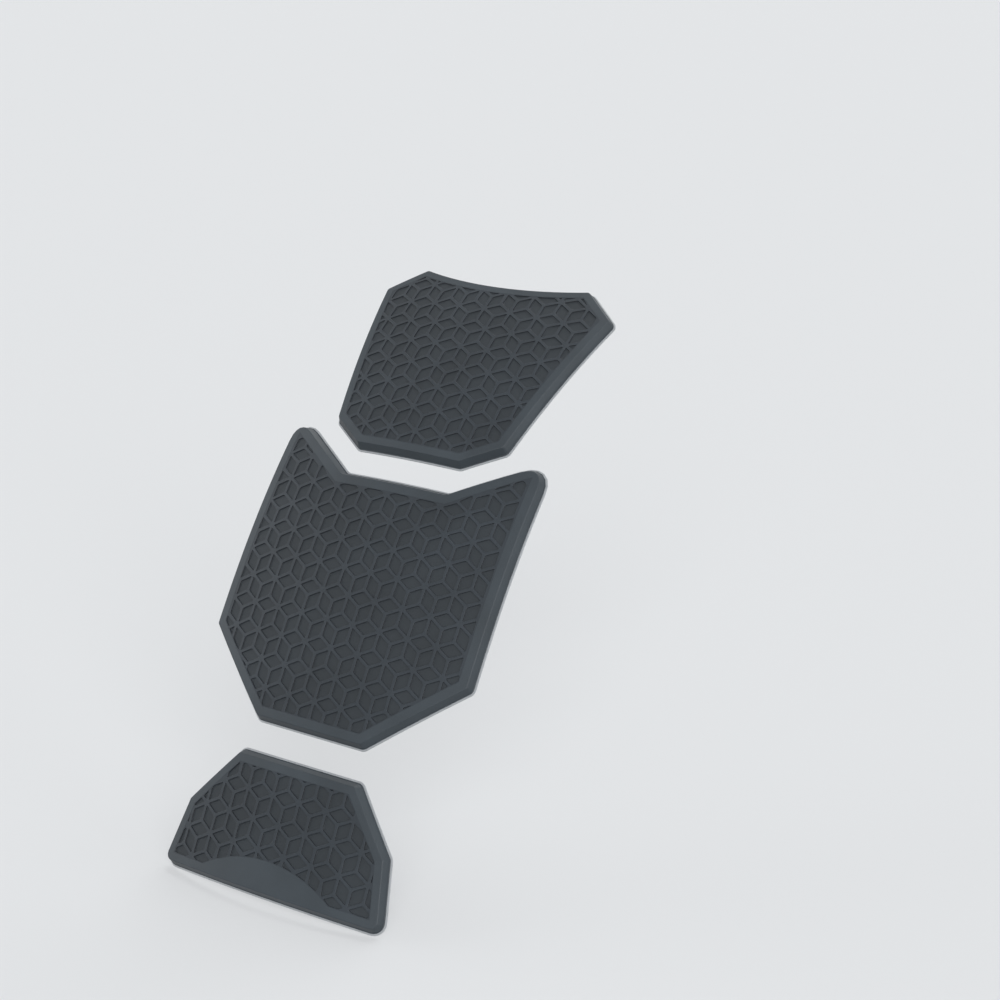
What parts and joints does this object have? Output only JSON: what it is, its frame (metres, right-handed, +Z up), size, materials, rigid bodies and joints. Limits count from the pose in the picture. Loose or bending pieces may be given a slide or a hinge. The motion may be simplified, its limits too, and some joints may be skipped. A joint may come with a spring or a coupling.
{
  "type": "motorcycle tank pad set",
  "caption": "Curved rubber protector set for a motorcycle fuel tank, moulded with a raised tumbling-block lattice, each segment on its own adhesive sheet",
  "frame": {"origin": "on the tank surface under the middle of the middle segment, where its adhesive sheet sticks", "axes": "+X to the rider's right, +Y to the front of the motorcycle, +Z up; the set is symmetric about the plane X = 0 and falls from front to rear as it lies on the tank"},
  "size_m": [0.132, 0.1934, 0.2244],
  "materials": {
    "moulded_rubber": "dark slate grey moulded rubber, satin, slightly lighter on the ribs and rims",
    "adhesive_film": "pale translucent double-sided adhesive film"
  },
  "bodies": {
    "root": {"upper_adhesive": "adhesive_film", "upper_pad": "moulded_rubber", "middle_adhesive": "adhesive_film", "middle_pad": "moulded_rubber", "lower_adhesive": "adhesive_film", "lower_pad": "moulded_rubber"}
  },
  "joints": []
}
